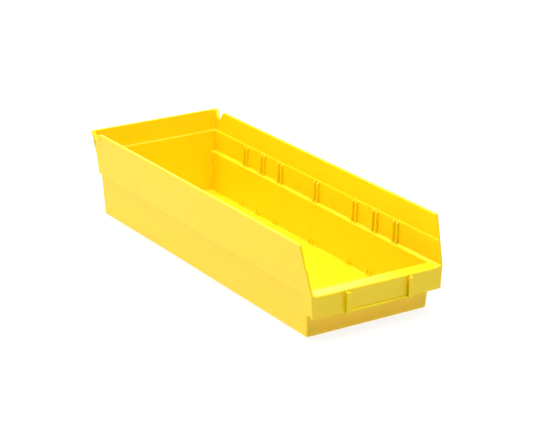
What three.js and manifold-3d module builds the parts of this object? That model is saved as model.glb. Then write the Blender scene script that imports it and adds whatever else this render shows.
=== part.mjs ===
// Shelf storage bin, moulded in one piece from polypropylene: a long open tray with stepped
// and drafted walls, a low open front with a label holder, and a lip at the back to hang it by.
//
// Units are millimetres. +Z is up, the open front faces -Y and the hanging lip is at +Y.
// The origin is the middle of the bounding box, on the surface that the bin stands on.
//
// The moulding is built as the regions a mould maker would name. Each one is a closed solid
// that meets its neighbours face to face, on planes worked out from the same dimensions.

import * as THREE from "three";
import { mergeVertices } from "three/addons/utils/BufferGeometryUtils.js";
import Module from "manifold-3d";

const manifold = await Module();
manifold.setup();

// ---------------------------------------------------------------- driving dimensions

// Heights of the levels where the walls change.
const FLOOR_THICKNESS = 2.6;
const STEP_BOTTOM = 47.6; // the outside of the side walls starts to step out here
const SILL_TOP = 50.7; // top of the front sill and lower edge of the divider ledge
const LEDGE_TOP = 52.2; // upper edge of the sloping divider ledge
const SHOULDER_BOTTOM = 75.5; // a narrow shoulder runs round the inside of the walls
const SHOULDER_TOP = 77.3;
const NOTCH_BOTTOM = 92.5; // bottom of the V notches at the rear corners
const RIM_TOP = 101.6;
const LIP_TOP = 102;

// Half widths across the bin, inside and outside, at those heights.
const INSIDE_HALF_WIDTH = [
  [0, 70.2], [STEP_BOTTOM, 72.8], [SILL_TOP, 73.0], [LEDGE_TOP, 77.4],
  [SHOULDER_BOTTOM, 78.25], [SHOULDER_TOP, 79.6], [NOTCH_BOTTOM, 80.15], [LIP_TOP, 80.65],
];
const OUTSIDE_HALF_WIDTH = [
  [0, 73.3], [STEP_BOTTOM, 76.2], [SILL_TOP, 80.1], [LEDGE_TOP, 80.25], [LIP_TOP, 84.5],
];

// Faces of the rear wall and of the hanging lip above it, measured along Y.
const REAR_INSIDE = [
  [0, 220.4], [SHOULDER_BOTTOM, 224.7], [SHOULDER_TOP, 226], [NOTCH_BOTTOM, 226.6], [LIP_TOP, 227.4],
];
const REAR_OUTSIDE = [
  [0, 223.6], [SHOULDER_BOTTOM, 227.9], [SHOULDER_TOP, 228.9], [NOTCH_BOTTOM, 229.2], [LIP_TOP, 230],
];

// Faces of the wall under the sill, and of the band that hangs in front of it.
const FRONT_INSIDE = [[0, -204.5], [STEP_BOTTOM, -208.5]];
const FRONT_OUTSIDE = [[0, -207.6], [STEP_BOTTOM, -211.4]];
const BAND_FACE = -225;
const BAND_THICKNESS = 2.8;
const BAND_BOTTOM = 26.5;
const BAND_HALF_WIDTH = [[BAND_BOTTOM, 78.4], [SILL_TOP, 80.1]];
const RETURN_BOTTOM = 28.7;
const RETURN_REAR = -207.5;

// The sloping front edges of the side walls.
const FRONT_EDGE_AT_RIM = -208.8;
const FRONT_EDGE_SLOPE = 0.305; // forward for each millimetre down

// V notches between the side walls and the hanging lip, at their bottom and at the top.
const NOTCH_FRONT_EDGE = [[NOTCH_BOTTOM, 215], [RIM_TOP, 209.5]];
const NOTCH_REAR_EDGE = [[NOTCH_BOTTOM, 221], [LIP_TOP, 227]];
const CHEEK_HALF_WIDTH = [[NOTCH_BOTTOM, 83.66], [LIP_TOP, 85.1]];

// Ribs in pairs hold cross dividers. The positions count pitches from the middle pair.
const DIVIDER_PITCH = 37.3;
const DIVIDER_MIDDLE = 2.5;
const DIVIDER_POSITIONS = [4, 3, 2, 0, -2, -3, -4];
const RIB_SPACING = 6.8; // from the middle of one rib of a pair to the middle of the other
const RIB_THICKNESS = 2;
const RIB_DEPTH = 3;
const RIB_TOP_DROP = 1.3; // the rib's top slopes down by this much, like the shoulder
const GUSSET_SPACING = 5.8;
const GUSSET_THICKNESS = 1.2;
const GUSSET_DEPTH = 2.2;
const GUSSET_HEIGHT = 8;

// Label holder on the front band.
const GUIDE_HALF_SPAN = 40; // from the middle to the outer face of a guide
const GUIDE_DEPTH = 4;
const GUIDE_WALL = 1.6;
const GUIDE_FLANGE = 4.8;
const GUIDE_TOP = 49.4;
const LABEL_SHELF_DEPTH = 1.8;
const LABEL_SHELF_HEIGHT = 1.6;

const CORNER_RADIUS = 2.4; // less than the thinnest wall
const CHEEK_BEVEL = 0.8; // the corners of the hanging lip are nearly sharp
const CORNER_STEPS = 4;

// ---------------------------------------------------------------- colour

const YELLOW = 0xf2c800;

// ---------------------------------------------------------------- geometry helpers

// Value at height z on a line given by [height, value] points.
function at(line, z) {
  const next = Math.max(1, line.findIndex(([height]) => height >= z));
  const [z0, v0] = line[next - 1];
  const [z1, v1] = line[next];
  return v0 + ((v1 - v0) * (z - z0)) / (z1 - z0);
}

function frontEdge(z) {
  return FRONT_EDGE_AT_RIM - FRONT_EDGE_SLOPE * (RIM_TOP - z);
}

// A closed solid through level outlines, given from the bottom up as [z, points]. The outlines
// run counter-clockwise, have the same number of points, and keep their edges parallel.
function stack(levels) {
  const count = levels[0][1].length;
  const positions = levels.flatMap(([z, points]) => points.flatMap(([x, y]) => [x, y, z]));
  const index = [];
  for (let level = 0; level < levels.length - 1; level += 1) {
    for (let i = 0; i < count; i += 1) {
      const a = level * count + i;
      const b = level * count + ((i + 1) % count);
      index.push(a, b, b + count, a, b + count, a + count);
    }
  }
  const outline = levels[0][1].map(([x, y]) => new THREE.Vector2(x, y));
  const top = (levels.length - 1) * count;
  for (const [a, b, c] of THREE.ShapeUtils.triangulateShape(outline, [])) {
    index.push(a, c, b);
    index.push(top + a, top + b, top + c);
  }
  const geometry = new THREE.BufferGeometry();
  geometry.setAttribute("position", new THREE.Float32BufferAttribute(positions, 3));
  geometry.setIndex(index);
  return geometry;
}

// An outline in the X-Z plane, pulled along Y from y0 to y1.
function plateAcross(points, y0, y1) {
  const shape = new THREE.Shape(points.map(([x, z]) => new THREE.Vector2(x, z)));
  const geometry = new THREE.ExtrudeGeometry(shape, { depth: y1 - y0, bevelEnabled: false });
  geometry.rotateX(Math.PI / 2);
  geometry.translate(0, y1, 0);
  return geometry;
}

function rectangle(x0, y0, x1, y1) {
  return [[x0, y0], [x1, y0], [x1, y1], [x0, y1]];
}

function toSolid(geometry) {
  const bare = geometry.clone();
  bare.deleteAttribute("normal");
  bare.deleteAttribute("uv");
  const merged = mergeVertices(bare, 1e-4);
  return new manifold.Manifold(new manifold.Mesh({
    numProp: 3,
    vertProperties: new Float32Array(merged.attributes.position.array),
    triVerts: new Uint32Array(merged.index.array),
  }));
}

function toGeometry(solid) {
  const mesh = solid.getMesh();
  const geometry = new THREE.BufferGeometry();
  geometry.setAttribute("position", new THREE.BufferAttribute(mesh.vertProperties, 3));
  geometry.setIndex(new THREE.BufferAttribute(mesh.triVerts, 1));
  return geometry;
}

function join(...geometries) {
  return toGeometry(geometries.map(toSolid).reduce((whole, piece) => whole.add(piece)));
}

// The same piece on the other side of the bin, with its faces turned to point out again.
function mirrored(geometry) {
  const other = toGeometry(toSolid(geometry)).scale(-1, 1, 1);
  const corners = other.index.array;
  for (let i = 0; i < corners.length; i += 3) {
    [corners[i + 1], corners[i + 2]] = [corners[i + 2], corners[i + 1]];
  }
  return other;
}

// ---------------------------------------------------------------- scene graph

const bin = new THREE.Group();
bin.name = "shelf_bin";

function place(name, geometry) {
  const material = new THREE.MeshStandardMaterial({ color: YELLOW, roughness: 0.42, metalness: 0 });
  const mesh = new THREE.Mesh(geometry, material);
  mesh.name = name;
  bin.add(mesh);
}

// A piece of the right-hand wall and its twin on the left.
function placePair(name, geometry) {
  place(name("right"), geometry);
  place(name("left"), mirrored(geometry));
}

// ---------------------------------------------------------------- walls

// Level outline of the right-hand side wall between two ends, rounded where it turns the
// corner of the bin at the rear, and at the front too when roundFront is set.
function sideOutline(z, front, rear, rounding = {}) {
  const { roundFront = false, roundRear = true } = rounding;
  const inner = at(INSIDE_HALF_WIDTH, z);
  const outer = at(OUTSIDE_HALF_WIDTH, z);
  const points = [[inner, front]];
  const corner = (y, side, start) => {
    for (let i = 0; i <= CORNER_STEPS; i += 1) {
      const angle = start + (i / CORNER_STEPS) * (Math.PI / 2);
      const x = outer - CORNER_RADIUS + CORNER_RADIUS * Math.cos(angle);
      points.push([x, y - side * CORNER_RADIUS + CORNER_RADIUS * Math.sin(angle)]);
    }
  };
  if (roundFront) corner(front, -1, -Math.PI / 2);
  else points.push([outer, front]);
  if (roundRear) corner(rear, 1, 0);
  else points.push([outer, rear]);
  points.push([inner, rear]);
  return points;
}

// Level outline of a rear or front wall that fits between the side walls.
function crossOutline(z, y0, y1) {
  const half = at(INSIDE_HALF_WIDTH, z);
  return rectangle(-half, y0, half, y1);
}

function sideWall(levels, front, rear, rounding) {
  return stack(levels.map((z) => [z, sideOutline(z, front(z), rear(z), rounding)]));
}

function rearWall(levels) {
  return stack(levels.map((z) => [z, crossOutline(z, at(REAR_INSIDE, z), at(REAR_OUTSIDE, z))]));
}

const rearFace = (z) => at(REAR_OUTSIDE, z);
const frontFace = (z) => at(FRONT_OUTSIDE, z);

// Two ribs or gussets stand at each divider position, one on either side of the divider.
function dividerPlaces(spacing) {
  return DIVIDER_POSITIONS.map((position) => {
    const middle = DIVIDER_MIDDLE + position * DIVIDER_PITCH;
    return [middle + spacing / 2, middle - spacing / 2];
  });
}

// Floor, between the walls of the base.
place("floor_panel", stack([0, FLOOR_THICKNESS].map((z) => [
  z, crossOutline(z, at(FRONT_INSIDE, z), at(REAR_INSIDE, z)),
])));

// Walls of the base. Small gussets at the floor steady the feet of the dividers.
function gusset(y) {
  const z0 = FLOOR_THICKNESS;
  const z1 = FLOOR_THICKNESS + GUSSET_HEIGHT;
  const root = 1; // the gusset is sunk this far into the wall that it is part of
  const outline = [
    [at(INSIDE_HALF_WIDTH, z0) - GUSSET_DEPTH, z0],
    [at(INSIDE_HALF_WIDTH, z0) + root, z0],
    [at(INSIDE_HALF_WIDTH, z1) + root, z1],
    [at(INSIDE_HALF_WIDTH, z1), z1],
  ];
  return plateAcross(outline, y - GUSSET_THICKNESS / 2, y + GUSSET_THICKNESS / 2);
}
const gussets = dividerPlaces(GUSSET_SPACING).flat().map(gusset);
const lowerWall = sideWall([0, STEP_BOTTOM], frontFace, rearFace, { roundFront: true });
placePair((side) => `lower_wall_${side}`, join(lowerWall, ...gussets));
place("lower_wall_rear", rearWall([0, STEP_BOTTOM]));
place("lower_wall_front", stack([0, STEP_BOTTOM].map((z) => [
  z, crossOutline(z, at(FRONT_OUTSIDE, z), at(FRONT_INSIDE, z)),
])));

// Divider ledges, where the side walls step out. They run forward over the front band.
const bandBack = BAND_FACE + BAND_THICKNESS;
const ledgeUnder = sideWall([STEP_BOTTOM, SILL_TOP], () => bandBack, rearFace);
const ledgeOver = sideWall([SILL_TOP, LEDGE_TOP], frontEdge, rearFace);
placePair((side) => `divider_ledge_${side}`, join(ledgeUnder, ledgeOver));

// Middle walls, up to the shoulder.
const middleLevels = [LEDGE_TOP, SHOULDER_BOTTOM, SHOULDER_TOP];
placePair((side) => `middle_wall_${side}`, sideWall(middleLevels, frontEdge, rearFace));
place("middle_wall_rear", rearWall([STEP_BOTTOM, SILL_TOP, ...middleLevels]));

// Divider ribs on the middle walls. Each foot stands on the sloping ledge.
const ledgeSlope = (LEDGE_TOP - SILL_TOP) / (at(INSIDE_HALF_WIDTH, LEDGE_TOP) - at(INSIDE_HALF_WIDTH, SILL_TOP));
const ribOutline = [
  [at(INSIDE_HALF_WIDTH, LEDGE_TOP), LEDGE_TOP],
  [at(INSIDE_HALF_WIDTH, SHOULDER_BOTTOM), SHOULDER_BOTTOM],
  [at(INSIDE_HALF_WIDTH, SHOULDER_BOTTOM) - RIB_DEPTH, SHOULDER_BOTTOM - RIB_TOP_DROP],
  [at(INSIDE_HALF_WIDTH, LEDGE_TOP) - RIB_DEPTH, LEDGE_TOP - RIB_DEPTH * ledgeSlope],
];
dividerPlaces(RIB_SPACING).forEach((pair, position) => {
  pair.forEach((y, which) => {
    const rib = plateAcross(ribOutline, y - RIB_THICKNESS / 2, y + RIB_THICKNESS / 2);
    placePair((side) => `divider_rib_${side}_${position + 1}${"ab"[which]}`, rib);
  });
});

// Upper walls, up to the bottom of the notches, and the rims of the sides above them.
const upperLevels = [SHOULDER_TOP, NOTCH_BOTTOM];
placePair((side) => `upper_wall_${side}`, sideWall(upperLevels, frontEdge, rearFace));
place("upper_wall_rear", rearWall(upperLevels));
const notchFront = (z) => at(NOTCH_FRONT_EDGE, z);
const rim = sideWall([NOTCH_BOTTOM, RIM_TOP], frontEdge, notchFront, { roundRear: false });
placePair((side) => `rim_wall_${side}`, rim);

// Hanging lip at the rear, with a cheek at each end that turns the corner to the notch.
const lipLevels = [NOTCH_BOTTOM, LIP_TOP];
place("hang_lip", rearWall(lipLevels));
const notchRear = (z) => at(NOTCH_REAR_EDGE, z);
placePair((side) => `hang_lip_cheek_${side}`, stack(lipLevels.map((z) => {
  const inner = at(INSIDE_HALF_WIDTH, z);
  const outer = at(CHEEK_HALF_WIDTH, z);
  return [z, [
    [inner, notchRear(z)], [outer, notchRear(z)], [outer, rearFace(z) - CHEEK_BEVEL],
    [outer - CHEEK_BEVEL, rearFace(z)], [inner, rearFace(z)],
  ]];
})));

// ---------------------------------------------------------------- open front

// Sill, between the divider ledges and behind the band.
place("front_sill", stack([STEP_BOTTOM, SILL_TOP].map((z) => [
  z, crossOutline(z, bandBack, at(FRONT_INSIDE, STEP_BOTTOM)),
])));

// Band across the front, with a return at each end that runs back to the base.
place("front_band", stack([BAND_BOTTOM, SILL_TOP].map((z) => {
  const half = at(BAND_HALF_WIDTH, z);
  return [z, rectangle(-half, BAND_FACE, half, bandBack)];
})));
placePair((side) => `band_return_${side}`, stack([RETURN_BOTTOM, STEP_BOTTOM].map((z) => [
  z, rectangle(at(OUTSIDE_HALF_WIDTH, z), bandBack, at(BAND_HALF_WIDTH, z), RETURN_REAR),
])));

// ---------------------------------------------------------------- label holder

// Each guide is a leg that stands out from the band and a flange that turns towards the
// middle, so that a card slides down behind the two flanges onto the shelf.
const guideTipDrop = 1.2;
const flangeFront = BAND_FACE - GUIDE_DEPTH;
const flangeBack = flangeFront + GUIDE_WALL;
const legOutline = new THREE.Shape([
  new THREE.Vector2(BAND_FACE, BAND_BOTTOM),
  new THREE.Vector2(BAND_FACE, GUIDE_TOP),
  new THREE.Vector2(flangeFront, GUIDE_TOP - guideTipDrop),
  new THREE.Vector2(flangeFront, BAND_BOTTOM),
]);
const leg = new THREE.ExtrudeGeometry(legOutline, { depth: GUIDE_WALL, bevelEnabled: false });
leg.applyMatrix4(new THREE.Matrix4().makeBasis(
  new THREE.Vector3(0, 1, 0), new THREE.Vector3(0, 0, 1), new THREE.Vector3(1, 0, 0),
));
leg.translate(GUIDE_HALF_SPAN - GUIDE_WALL, 0, 0);
placePair((side) => `label_guide_leg_${side}`, leg);

const flangeTop = GUIDE_TOP - guideTipDrop;
const flangeOuter = GUIDE_HALF_SPAN - GUIDE_WALL;
const flangeInner = GUIDE_HALF_SPAN - GUIDE_FLANGE;
placePair((side) => `label_guide_flange_${side}`, stack([BAND_BOTTOM, flangeTop].map((z) => [
  z, rectangle(flangeInner, flangeFront, flangeOuter, flangeBack),
])));

place("label_shelf", stack([BAND_BOTTOM, BAND_BOTTOM + LABEL_SHELF_HEIGHT].map((z) => [
  z, rectangle(-flangeOuter, BAND_FACE - LABEL_SHELF_DEPTH, flangeOuter, BAND_FACE),
])));

export default bin;
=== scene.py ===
# Shelf storage bin, moulded in one shot from yellow polypropylene.
# Metres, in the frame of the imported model: +Z up, open front at -Y, hanging lip at +Y.
import math

import bmesh
import bpy
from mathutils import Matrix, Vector


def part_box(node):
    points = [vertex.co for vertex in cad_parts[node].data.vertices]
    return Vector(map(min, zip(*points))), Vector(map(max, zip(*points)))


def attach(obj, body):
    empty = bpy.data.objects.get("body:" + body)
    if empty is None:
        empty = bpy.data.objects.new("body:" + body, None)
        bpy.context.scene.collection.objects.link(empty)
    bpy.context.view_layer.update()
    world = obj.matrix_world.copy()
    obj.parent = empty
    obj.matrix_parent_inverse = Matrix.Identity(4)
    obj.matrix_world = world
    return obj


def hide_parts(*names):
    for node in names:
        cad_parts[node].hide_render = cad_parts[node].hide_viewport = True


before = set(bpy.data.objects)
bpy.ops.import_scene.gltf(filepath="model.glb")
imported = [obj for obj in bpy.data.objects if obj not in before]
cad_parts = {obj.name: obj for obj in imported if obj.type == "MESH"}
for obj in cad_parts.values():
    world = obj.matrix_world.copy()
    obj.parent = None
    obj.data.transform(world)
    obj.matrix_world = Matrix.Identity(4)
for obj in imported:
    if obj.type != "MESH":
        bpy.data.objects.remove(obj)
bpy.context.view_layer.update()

scene = bpy.context.scene


# ---------------------------------------------------------------- bin shell
# The tray itself: floor, stepped and drafted walls, front sill and band, and hanging lip.
# One injection moulding in polypropylene with walls about 3 mm thick, so it is one skin
# whose inside and outside meet at the rims. Every edge has the radius that the mould gave it.

MM = 0.001


def corner(node, high):
    """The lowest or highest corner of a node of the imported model, in millimetres."""
    return Vector(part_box(node)[1 if high else 0]) / MM


floor_top = corner("floor_panel", True).z
step_bottom = corner("lower_wall_right", True).z
sill_top = corner("front_sill", True).z
ledge_top = corner("divider_ledge_right", True).z
shoulder_low = corner("divider_rib_right_1a", True).z
shoulder_top = corner("middle_wall_right", True).z
notch_bottom = corner("upper_wall_right", True).z
rim_top = corner("rim_wall_right", True).z
lip_top = corner("hang_lip", True).z
band_bottom = corner("front_band", False).z
return_bottom = corner("band_return_right", False).z

band_face = corner("front_band", False).y
band_back = corner("front_band", True).y
return_rear = corner("band_return_right", True).y
front_edge_lean = 0.305  # the front edge of a side wall goes back this much for each unit up
front_edge_at_rim = (
    corner("rim_wall_right", False).y + (rim_top - notch_bottom) * front_edge_lean)
notch_front_top = 209.5
flare_depth = 2.4  # a low strip stands out by this much in front of each notch
flare_front = 6.1  # from the notch to the front of the slope that leads up to the strip
flare_run = 3.3  # length of that slope
notch_front_foot = corner("rim_wall_right", True).y
notch_rear_foot = corner("hang_lip_cheek_right", False).y
lip_rear = corner("hang_lip", True).y
lip_thickness = 2.7
lip_foot_height = 91
lip_foot_inside = 226.6
lip_foot_outside = 228.5
shoulder_inside = 226.0
shoulder_outside = 228.4
base_half_width = 73.3
base_bulge_middle = 0.3  # the side walls bow out by this much half way along the foot
base_bulge_rear = 0.6
bulge_middle_at = 60
skirt_half_width = 80.1
band_end_inset = 1.7  # the ends of the band draw in by this much towards its foot
cheek_half_width = corner("hang_lip_cheek_right", True).x


def between(z, low, high):
    """Value at height z on the straight line through two (height, value) points."""
    return low[1] + (high[1] - low[1]) * (z - low[0]) / (high[0] - low[0])


def inside_base(z):
    return between(z, (0, 70.2), (sill_top, 73.0))


def inside_middle(z):
    return between(z, (ledge_top, 77.4), (shoulder_low, 78.25))


def inside_upper(z):
    return between(z, (shoulder_top, 79.6), (rim_top, 80.6))


def outside_base(z):
    return between(z, (0, base_half_width), (step_bottom, corner("lower_wall_right", True).x))


def outside_upper(z):
    return between(z, (sill_top, skirt_half_width), (rim_top, corner("rim_wall_right", True).x))


def outside_flared(z):
    return outside_upper(z) + flare_depth


def outside_cheek(z):
    return between(z, (notch_bottom, outside_upper(notch_bottom)), (lip_top, cheek_half_width))


def rear_inside(z):
    return between(z, (0, 220.4), (shoulder_low, 224.7))


def rear_outside(z):
    return between(z, (0, 223.6), (shoulder_low, 227.9))


def front_inside(z):
    return between(z, (0, -204.5), (step_bottom, -208.5))


def front_outside(z):
    return between(z, (0, -207.6), (step_bottom, -211.4))


def front_edge(z):
    return between(z, (sill_top, band_face), (rim_top, front_edge_at_rim))


def band_end(z):
    foot = corner("front_band", True).x - band_end_inset
    return between(z, (band_bottom, foot), (sill_top, skirt_half_width))


def level(x, y, z):
    """A corner of the shell at height z, with its x and y given or worked out from z."""
    return Vector((x(z) if callable(x) else x, y(z) if callable(y) else y, z))


# The sharp corners of the right-hand half, before rounding.
shell_corners = {
    "floor_front": level(inside_base, front_inside, floor_top),
    "floor_rear": level(inside_base, rear_inside, floor_top),
    "wall_front": level(inside_base, front_inside, sill_top),
    "wall_rear": level(inside_base, rear_inside, sill_top),
    "ledge_tip": level(inside_base, front_edge, sill_top),
    "ledge_front": level(inside_middle, front_edge, ledge_top),
    "ledge_rear": level(inside_middle, rear_inside, ledge_top),
    "shoulder_low_front": level(inside_middle, front_edge, shoulder_low),
    "shoulder_low_rear": level(inside_middle, rear_inside, shoulder_low),
    "shoulder_top_front": level(inside_upper, front_edge, shoulder_top),
    "shoulder_top_rear": level(inside_upper, shoulder_inside, shoulder_top),
    "rim_front_in": level(inside_upper, front_edge, rim_top),
    "rim_rear_in": level(inside_upper, notch_front_top, rim_top),
    "notch_front_in": level(inside_upper, notch_front_foot, notch_bottom),
    "notch_rear_in": level(inside_upper, notch_rear_foot, notch_bottom),
    "lip_foot": level(inside_upper, lip_foot_inside, notch_bottom),
    "lip_top_in": level(inside_upper, lip_rear - lip_thickness, lip_top),
    "lip_top_cheek": level(outside_cheek, lip_rear - lip_thickness, lip_top),
    "lip_top_out": level(outside_cheek, lip_rear, lip_top),
    "lip_foot_out": level(outside_upper, lip_foot_outside, lip_foot_height),
    "notch_rear_out": level(outside_upper, notch_rear_foot, notch_bottom),
    "notch_foot_out": level(outside_upper, notch_front_foot, notch_bottom),
    "notch_front_out": level(outside_flared, notch_front_foot, notch_bottom),
    "rim_rear_out": level(outside_flared, notch_front_top, rim_top),
    "strip_foot": level(outside_flared, notch_front_foot - flare_front + flare_run, notch_bottom),
    "strip_top": level(outside_flared, notch_front_top - flare_front + flare_run, rim_top),
    "flare_foot": level(outside_upper, notch_front_foot - flare_front, notch_bottom),
    "flare_top": level(outside_upper, notch_front_top - flare_front, rim_top),
    "rim_front_out": level(outside_upper, front_edge, rim_top),
    "back_shoulder_top": level(outside_upper, shoulder_outside, shoulder_top),
    "back_shoulder_low": level(outside_upper, rear_outside, shoulder_low),
    "skirt_rear": level(outside_upper, rear_outside, sill_top),
    "skirt_return": level(outside_upper, return_rear, sill_top),
    "skirt_front": level(outside_upper, band_face, sill_top),
    "step_rear": level(outside_base, rear_outside, step_bottom),
    "step_return": level(outside_base, return_rear, step_bottom),
    "step_front": level(outside_base, front_outside, step_bottom),
    "base_middle": level(base_half_width + base_bulge_middle, bulge_middle_at, 0),
    "base_rear": level(base_half_width + base_bulge_rear, rear_outside, 0),
    "base_front": level(outside_base, front_outside, 0),
    "return_corner": level(outside_base, front_outside, return_bottom),
    "return_in_rear": level(outside_base, return_rear, return_bottom),
    "return_in_front": level(outside_base, band_back, return_bottom),
    "return_out_rear": level(band_end, return_rear, return_bottom),
    "return_out_front": level(band_end, band_back, return_bottom),
    "sill_under": level(outside_base, band_back, step_bottom),
    "band_low_back": level(band_end, band_back, band_bottom),
    "band_low_front": level(band_end, band_face, band_bottom),
}

# Faces that cross the bin from side to side, by their right-hand corners.
shell_cross_faces = [
    "floor_front floor_rear",
    "floor_front wall_front",
    "wall_front ledge_tip",
    "floor_rear wall_rear ledge_rear shoulder_low_rear",
    "shoulder_low_rear shoulder_top_rear",
    "shoulder_top_rear lip_foot",
    "lip_foot lip_top_in",
    "lip_top_in lip_top_cheek lip_top_out",
    "lip_top_out lip_foot_out",
    "lip_foot_out back_shoulder_top",
    "back_shoulder_top back_shoulder_low",
    "back_shoulder_low skirt_rear step_rear base_rear",
    "base_rear base_middle base_front",
    "base_front return_corner step_front",
    "step_front sill_under",
    "sill_under return_in_front return_out_front band_low_back",
    "band_low_back band_low_front",
    "band_low_front skirt_front ledge_tip",
]

# Faces of the right-hand side, each with a twin on the left.
shell_side_faces = [
    "floor_front floor_rear wall_rear wall_front",
    "ledge_tip wall_front wall_rear ledge_rear ledge_front",
    "ledge_front ledge_rear shoulder_low_rear shoulder_low_front",
    "shoulder_low_front shoulder_low_rear shoulder_top_rear shoulder_top_front",
    ("shoulder_top_front shoulder_top_rear lip_foot lip_top_in notch_rear_in "
     "notch_front_in rim_rear_in rim_front_in"),
    "rim_front_in rim_rear_in rim_rear_out strip_top flare_top rim_front_out",
    "rim_rear_in notch_front_in notch_foot_out notch_front_out rim_rear_out",
    "notch_front_in notch_rear_in notch_rear_out notch_foot_out",
    "flare_top flare_foot strip_foot strip_top",
    "strip_top strip_foot notch_front_out rim_rear_out",
    "flare_foot notch_foot_out notch_front_out strip_foot",
    "notch_rear_in lip_top_in lip_top_cheek notch_rear_out",
    ("ledge_tip skirt_front rim_front_out rim_front_in shoulder_top_front "
     "shoulder_low_front ledge_front"),
    ("skirt_front rim_front_out flare_top flare_foot notch_foot_out notch_rear_out "
     "lip_foot_out back_shoulder_top back_shoulder_low skirt_rear skirt_return"),
    "notch_rear_out lip_top_cheek lip_top_out lip_foot_out",
    "skirt_return skirt_rear step_rear step_return",
    "base_front return_corner return_in_rear step_return step_rear base_rear base_middle",
    "skirt_return return_out_rear return_in_rear step_return",
    "return_out_rear return_in_rear return_corner return_in_front return_out_front",
    "return_in_front return_corner step_front sill_under",
    "band_low_front skirt_front skirt_return return_out_rear return_out_front band_low_back",
]

# Radii in millimetres along chains of corners. A plus sign crosses to the left-hand twin.
shell_radii = [
    "1.6 rim_front_in rim_rear_in",
    "1.6 rim_front_out flare_top",
    "0.8 flare_top strip_top rim_rear_out",
    "2.6 rim_rear_in rim_rear_out",
    "0.8 rim_rear_in notch_front_in notch_rear_in lip_top_in",
    "0.7 rim_rear_out notch_front_out",
    "0.5 strip_top strip_foot",
    "0.8 notch_rear_out lip_top_cheek",
    "0.8 rim_front_in rim_front_out",
    "1.0 rim_front_in shoulder_top_front shoulder_low_front ledge_front ledge_tip",
    "0.8 rim_front_out skirt_front",
    "1.2 lip_top_in +",
    "1.2 lip_top_out +",
    "0.4 lip_top_out lip_foot_out",
    "4.2 lip_foot_out back_shoulder_top",
    "4.6 back_shoulder_top back_shoulder_low",
    "5.5 back_shoulder_low skirt_rear step_rear",
    "4.0 step_rear base_rear",
    "2.2 base_front return_corner",
    "2.6 base_front base_middle",
    "1.0 base_middle base_rear",
    "2.6 base_front +",
    "1.6 base_rear +",
    "2.4 floor_front floor_rear",
    "2.4 floor_front +",
    "2.4 floor_rear +",
    "2.6 floor_rear wall_rear",
    "2.0 floor_front wall_front",
    "2.6 ledge_rear shoulder_low_rear shoulder_top_rear lip_foot",
    "0.8 wall_front wall_rear",
    "0.8 ledge_front ledge_rear",
    "0.7 shoulder_low_front shoulder_low_rear",
    "0.7 shoulder_top_front shoulder_top_rear",
    "0.7 shoulder_low_rear +",
    "0.7 shoulder_top_rear +",
    "1.5 ledge_tip +",
    "0.6 wall_front +",
    "1.2 skirt_front band_low_front",
    "0.6 band_low_front +",
    "0.6 band_low_back +",
]


largest_radius = 5.5
plain_radius = 0.4  # on the edges that the list leaves out


def rounded_shell():
    """Builds the sharp shell from its corner names and marks each edge with its radius."""
    mesh = bmesh.new()
    points = {}
    for name, place in shell_corners.items():
        points[name] = mesh.verts.new(place * MM)
        points[name, "left"] = mesh.verts.new(Vector((-place.x, place.y, place.z)) * MM)
    for line in shell_cross_faces:
        names = line.split()
        mesh.faces.new([points[n] for n in names] + [points[n, "left"] for n in reversed(names)])
    for line in shell_side_faces:
        names = line.split()
        mesh.faces.new([points[n] for n in names])
        mesh.faces.new([points[n, "left"] for n in reversed(names)])
    bmesh.ops.recalc_face_normals(mesh, faces=mesh.faces)
    radius = mesh.edges.layers.float.new("bevel_weight_edge")
    for edge in mesh.edges:
        edge[radius] = plain_radius / largest_radius
    for line in shell_radii:
        size, *names = line.split()
        for a, b in zip(names, names[1:]):
            ends = [(points[a], points[a, "left"])] if b == "+" else [
                (points[a], points[b]), (points[a, "left"], points[b, "left"])]
            for one, other in ends:
                mesh.edges.get((one, other))[radius] = float(size) / largest_radius
    return mesh


def add_piece(name, mesh):
    """Turns a bmesh into an object of the scene."""
    data = bpy.data.meshes.new(name)
    mesh.to_mesh(data)
    mesh.free()
    piece = bpy.data.objects.new(name, data)
    scene.collection.objects.link(piece)
    return piece


shell = add_piece("bin_shell", rounded_shell())
for polygon in shell.data.polygons:
    polygon.use_smooth = True
rounding = shell.modifiers.new("mould_radii", "BEVEL")
rounding.limit_method = "WEIGHT"
rounding.offset_type = "OFFSET"
rounding.width = largest_radius * MM
rounding.segments = 4
rounding.use_clamp_overlap = False
rounding.harden_normals = True


class Signal:
    """A socket of a material's node tree. Arithmetic on it adds Math nodes."""

    def __init__(self, tree, socket=None):
        self.tree = tree
        self.socket = socket

    def node(self, kind, settings=None, inputs=None, output=0):
        """Adds a node with its settings and inputs, and gives one of its outputs."""
        made = self.tree.nodes.new(kind)
        for name, value in (settings or {}).items():
            setattr(made, name, value)
        for name, value in (inputs or {}).items():
            if isinstance(value, Signal):
                self.tree.links.new(value.socket, made.inputs[name])
            else:
                made.inputs[name].default_value = value
        return Signal(self.tree, made.outputs[output]) if made.outputs else None

    def math(self, operation, *values):
        return self.node("ShaderNodeMath", {"operation": operation}, dict(enumerate(values)))

    def __add__(self, other):
        return self.math("ADD", self, other)

    def __sub__(self, other):
        return self.math("SUBTRACT", self, other)

    def __rsub__(self, other):
        return self.math("SUBTRACT", other, self)

    def __mul__(self, other):
        return self.math("MULTIPLY", self, other)

    def __truediv__(self, other):
        return self.math("DIVIDE", self, other)

    def __abs__(self):
        return self.math("ABSOLUTE", self)

    def __gt__(self, other):
        return self.math("GREATER_THAN", self, other)

    def __lt__(self, other):
        return self.math("LESS_THAN", self, other)

    __radd__ = __add__
    __rmul__ = __mul__


deep_yellow = (0.90, 0.665, 0.0, 1)
light_yellow = (0.93, 0.72, 0.0, 1)


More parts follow.
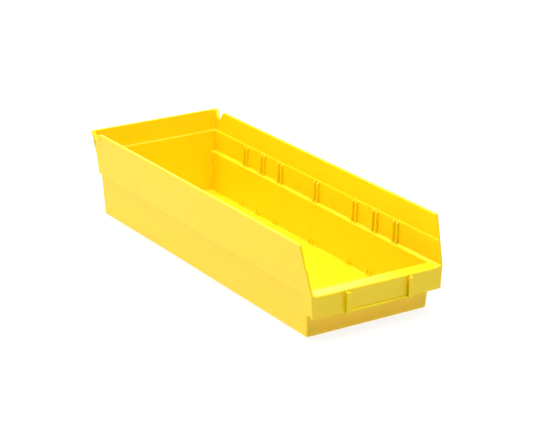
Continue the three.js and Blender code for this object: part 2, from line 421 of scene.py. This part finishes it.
def polypropylene(name, marks=None):
    """Semi-gloss moulded plastic, with marks given as a function of the place: dents in the bump,
    and painted highlight on the colour.
    """
    material = bpy.data.materials.new(name)
    material.use_nodes = True
    tree = material.node_tree
    tree.nodes.clear()
    start = Signal(tree)
    place = start.node("ShaderNodeTexCoord", output="Object")
    cloud = start.node("ShaderNodeTexNoise", {}, {"Vector": place, "Scale": 14.0, "Detail": 3.0})
    skin = start.node("ShaderNodeTexNoise", {}, {"Vector": place, "Scale": 900.0, "Detail": 2.0})
    sink_and_highlight = marks(start, place) if marks else 0.0
    # Along the sink lines the marks lighten the colour as painted highlight; cloud and skin are the
    # plastic's own random tone.
    tone = cloud * 0.5 + skin * 0.12 + sink_and_highlight * 0.9
    colour = start.node(
        "ShaderNodeMix", {"data_type": "RGBA"},
        {0: tone, 6: deep_yellow, 7: light_yellow}, output=2)
    roughness = 0.34 + cloud * 0.1 + skin * 0.04
    height = skin * 0.25 + cloud * 6.0 + sink_and_highlight * 3.0
    normal = start.node(
        "ShaderNodeBump", {}, {"Strength": 0.5, "Distance": 0.00004, "Height": height})
    plastic = start.node("ShaderNodeBsdfPrincipled", {}, {
        "Base Color": colour, "Roughness": roughness, "IOR": 1.49, "Normal": normal,
        "Subsurface Weight": 0.5, "Subsurface Radius": (1.0, 0.4, 0.04),
        "Subsurface Scale": 0.006})
    start.node("ShaderNodeOutputMaterial", {}, {"Surface": plastic})
    return material


divider_pitch = 37.3
divider_middle = 2.5  # the middle pair of ribs stands this far behind the middle of the bin
rib_spacing = 6.8
mark_width = 1.1
mark_clearance = 0.4  # outside of the inner faces, so that only the outside is marked
ledge_mark_width = 1.4
ledge_mark_rise = 0.8
rib_mark_strength = 0.6


def sink_lines_and_highlights(start, place):
    """Faint lines outside the side walls, where a shoulder, ledge or rib stands on the inside:
    shallow sink dents, with painted highlight that lightens the colour along them.
    """
    x, y, z = [
        start.node("ShaderNodeSeparateXYZ", {}, {"Vector": place}, output=axis)
        for axis in range(3)]

    def line(distance, width):
        return start.math("MAXIMUM", 1 - abs(distance) / width, 0.0)

    outside = abs(x) > (inside_upper(shoulder_top) + mark_clearance) * MM
    turns = (y - divider_middle * MM) / (divider_pitch * MM)
    nearest = start.math("ROUND", turns)
    from_middle = abs(turns - nearest) * divider_pitch * MM
    rib_pair = line(from_middle - rib_spacing / 2 * MM, mark_width * MM)
    # Ribs stand at every whole number of pitches up to 4, apart from 1 on either side.
    stations = (abs(abs(nearest) - 1) > 0.5) * (abs(nearest) < 4.5)
    on_middle_wall = (z > ledge_top * MM) * (z < shoulder_low * MM)
    shoulder_line = line(z - shoulder_top * MM, mark_width * MM)
    ledge_line = line(z - (sill_top + ledge_mark_rise) * MM, ledge_mark_width * MM)
    levels = shoulder_line + ledge_line
    return (levels + rib_pair * stations * on_middle_wall * rib_mark_strength) * outside


def mould_in(piece, plastic, *nodes):
    """Gives a piece its plastic and fixes it to the bin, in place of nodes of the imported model."""
    piece.data.materials.append(plastic)
    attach(piece, "root")
    if nodes:
        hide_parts(*nodes)


shell_nodes = [
    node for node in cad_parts
    if not node.startswith(("divider_rib", "label_"))]
# The shell's outside gets sink dents in its bump, with painted highlight lightening the colour along
# them.
mould_in(shell, polypropylene("shell_polypropylene", sink_lines_and_highlights), *shell_nodes)


# ---------------------------------------------------------------- divider ribs
# Pairs of upright ribs on the middle of each side wall, which hold the edges of cross
# dividers. Moulded with the walls, with their feet on the ledge and soft, drafted noses.

rib_radius = 0.45
rib_draft = 0.2
rib_root = 0.6  # sunk into the wall by this much
rib_depth = 3.0
rib_top_drop = 1.3
rib_foot_sunk = 0.6
rib_nose_sunk = 0.2
rib_top_rise = 0.3
divider_positions = [4, 3, 2, 0, -2, -3, -4]
sides = (("right", 1), ("left", -1))


def prism(near, far):
    """A closed solid between two outlines with the same number of points, in millimetres."""
    mesh = bmesh.new()
    near = [mesh.verts.new(Vector(point) * MM) for point in near]
    far = [mesh.verts.new(Vector(point) * MM) for point in far]
    mesh.faces.new(near)
    mesh.faces.new(list(reversed(far)))
    for i in range(len(near)):
        j = (i + 1) % len(near)
        mesh.faces.new([near[j], near[i], far[i], far[j]])
    bmesh.ops.recalc_face_normals(mesh, faces=mesh.faces)
    return mesh


def drafted_plate(outline, y, thickness, draft):
    """A plate across y with its outline in x and z. The first half of the points is the root."""
    root = len(outline) // 2
    half = [thickness / 2 - (draft if i >= root else 0) for i in range(len(outline))]
    near = [(x, y - h, z) for (x, z), h in zip(outline, half)]
    far = [(x, y + h, z) for (x, z), h in zip(outline, half)]
    return prism(near, far)


def soften(piece, radius, segments=3):
    """Rounds every edge of a small moulded piece."""
    for polygon in piece.data.polygons:
        polygon.use_smooth = True
    edges = piece.modifiers.new("mould_radii", "BEVEL")
    edges.limit_method = "NONE"
    edges.width = radius * MM
    edges.segments = segments
    edges.harden_normals = True


def mirrored(outline, side):
    """The outline on the right-hand side (1) or its twin on the left (-1)."""
    return [(x * side, z) for x, z in outline]


rib_plastic = polypropylene("rib_polypropylene")
for side_name, side in sides:
    for number in range(1, len(divider_positions) + 1):
        for letter in "ab":
            node = f"divider_rib_{side_name}_{number}{letter}"
            low, high = corner(node, False), corner(node, True)
            outline = [
                (inside_middle(ledge_top) + rib_root, low.z - rib_foot_sunk),
                (inside_middle(shoulder_low) + rib_root, high.z + rib_top_rise),
                (inside_middle(shoulder_low) - rib_depth, high.z - rib_top_drop),
                (inside_middle(ledge_top) - rib_depth, low.z - rib_nose_sunk),
            ]
            middle = (low.y + high.y) / 2
            rib = add_piece(
                f"rib_{side_name}_{number}{letter}",
                drafted_plate(mirrored(outline, side), middle, high.y - low.y, rib_draft))
            soften(rib, rib_radius)
            mould_in(rib, rib_plastic, node)


# ---------------------------------------------------------------- floor gussets
# Small tapered gussets in pairs where each side wall meets the floor, in line with the ribs.
# They keep the foot of a divider upright. Moulded with the tray.

gusset_spacing = 5.8
gusset_thickness = 1.2
gusset_depth = 2.4
gusset_height = 8.5
gusset_root = 0.8  # sunk into the wall by this much
gusset_foot_sunk = 0.4
gusset_tip = 0.1  # depth at the top
gusset_draft = 0.1
gusset_radius = 0.25
for side_name, side in sides:
    for number, position in enumerate(divider_positions, 1):
        for letter, way in (("a", 1), ("b", -1)):
            y = divider_middle + position * divider_pitch + way * gusset_spacing / 2
            top = floor_top + gusset_height
            outline = [
                (inside_base(floor_top) + gusset_root, floor_top - gusset_foot_sunk),
                (inside_base(top) + gusset_root, top),
                (inside_base(top) - gusset_tip, top),
                (inside_base(floor_top) - gusset_depth, floor_top - gusset_foot_sunk),
            ]
            gusset = add_piece(
                f"gusset_{side_name}_{number}{letter}",
                drafted_plate(mirrored(outline, side), y, gusset_thickness, gusset_draft))
            soften(gusset, gusset_radius, 2)
            mould_in(gusset, rib_plastic)


# ---------------------------------------------------------------- label holder
# Two L-shaped guides and a low shelf on the front band, which take a slip-in label card.
# They are moulded with the band, and the tops of the guides slope down to the front.

guide_radius = 0.45


def upright(plan, bottom, top):
    """An upright prism on a plan in x and y, with its top at the height top(y)."""
    return prism([(x, y, bottom) for x, y in plan], [(x, y, top(y)) for x, y in plan])


holder_plastic = polypropylene("label_holder_polypropylene")
guide_sunk = 0.5  # sunk into the band by this much
guide_foot_drop = 0.3
shelf_overlap = 0.4  # the shelf reaches this far into each guide
leg_low = corner("label_guide_leg_right", False)
leg_high = corner("label_guide_leg_right", True)
flange_low = corner("label_guide_flange_right", False)
flange_high = corner("label_guide_flange_right", True)
for side_name, side in sides:
    root = leg_high.y + guide_sunk
    plan = [
        (leg_high.x, root), (leg_high.x, leg_low.y), (flange_low.x, leg_low.y),
        (flange_low.x, flange_high.y), (leg_low.x, flange_high.y), (leg_low.x, root)]
    slope = (leg_high.z - flange_high.z) / (leg_high.y - leg_low.y)
    guide = add_piece(
        f"guide_{side_name}",
        upright(
            [(x * side, y) for x, y in plan], leg_low.z - guide_foot_drop,
            lambda y: leg_high.z - (leg_high.y - y) * slope))
    soften(guide, guide_radius)
    mould_in(
        guide, holder_plastic,
        f"label_guide_leg_{side_name}", f"label_guide_flange_{side_name}")

shelf_low, shelf_high = corner("label_shelf", False), corner("label_shelf", True)
shelf_plan = [
    (shelf_low.x - shelf_overlap, shelf_high.y + guide_sunk),
    (shelf_low.x - shelf_overlap, shelf_low.y),
    (shelf_high.x + shelf_overlap, shelf_low.y),
    (shelf_high.x + shelf_overlap, shelf_high.y + guide_sunk)]
shelf = add_piece("card_shelf", upright(shelf_plan, shelf_low.z, lambda y: shelf_high.z))
soften(shelf, guide_radius)
mould_in(shelf, holder_plastic, "label_shelf")


# ---------------------------------------------------------------- studio
# A pale sweep and even, soft light from all round, with more of it from above.

floor_mesh = bmesh.new()
bmesh.ops.create_grid(floor_mesh, x_segments=1, y_segments=1, size=4.0)
studio_floor = add_piece("studio_floor", floor_mesh)
studio_floor.location.z = -0.0002
paper = bpy.data.materials.new("studio_paper")
paper.use_nodes = True
sheet = paper.node_tree.nodes["Principled BSDF"].inputs
sheet["Base Color"].default_value = (0.15, 0.15, 0.15, 1)
sheet["Roughness"].default_value = 0.9
sheet["Emission Color"].default_value = (1, 1, 1, 1)
sheet["Emission Strength"].default_value = 0.83
studio_floor.data.materials.append(paper)

world = bpy.data.worlds.new("studio_air")
world.use_nodes = True
world.node_tree.nodes["Background"].inputs["Color"].default_value = (1, 1, 1, 1)
world.node_tree.nodes["Background"].inputs["Strength"].default_value = 0.02
scene.world = world
scene.view_settings.view_transform = "Standard"


def softbox(name, place, aim, size, power):
    """A square soft light that points at aim."""
    lamp = bpy.data.lights.new(name, "AREA")
    lamp.shape = "SQUARE"
    lamp.size = size
    lamp.energy = power
    lamp_object = bpy.data.objects.new(name, lamp)
    lamp_object.location = place
    lamp_object.rotation_mode = "QUATERNION"
    lamp_object.rotation_quaternion = (Vector(aim) - Vector(place)).to_track_quat("-Z", "Y")
    scene.collection.objects.link(lamp_object)


softbox("overhead_softbox", (-0.2, 0.4, 2.0), (0, 0, 0), 1.8, 57)
softbox("front_top_softbox", (0, -0.9, 1.9), (0, 0, 0), 1.4, 26)
softbox("side_softbox", (-2.2, 0.6, 0.9), (0, 0, 0.05), 1.4, 9)
softbox("low_side_softbox", (-2.2, 0.2, 0.35), (0, 0, 0.05), 0.6, 11)
softbox("back_softbox", (1.0, 2.2, 0.8), (0, 0, 0.05), 1.6, 25)
softbox("right_softbox", (2.0, -0.4, 1.2), (0, 0, 0.05), 1.2, 16.5)

camera = bpy.data.objects.new("camera", bpy.data.cameras.new("camera"))
azimuth = math.radians(-32.2)
elevation = math.radians(20.24)
back = Vector((
    math.sin(azimuth) * math.cos(elevation),
    -math.cos(azimuth) * math.cos(elevation),
    math.sin(elevation)))
aim = Vector((0.01234, 0.00328, 0.0402))
distance = 2.0
camera.location = aim + back * distance
camera.rotation_mode = "QUATERNION"
camera.rotation_quaternion = (-back).to_track_quat("-Z", "Y")
camera.data.sensor_width = 36
camera.data.lens = 123.18
scene.collection.objects.link(camera)
scene.camera = camera
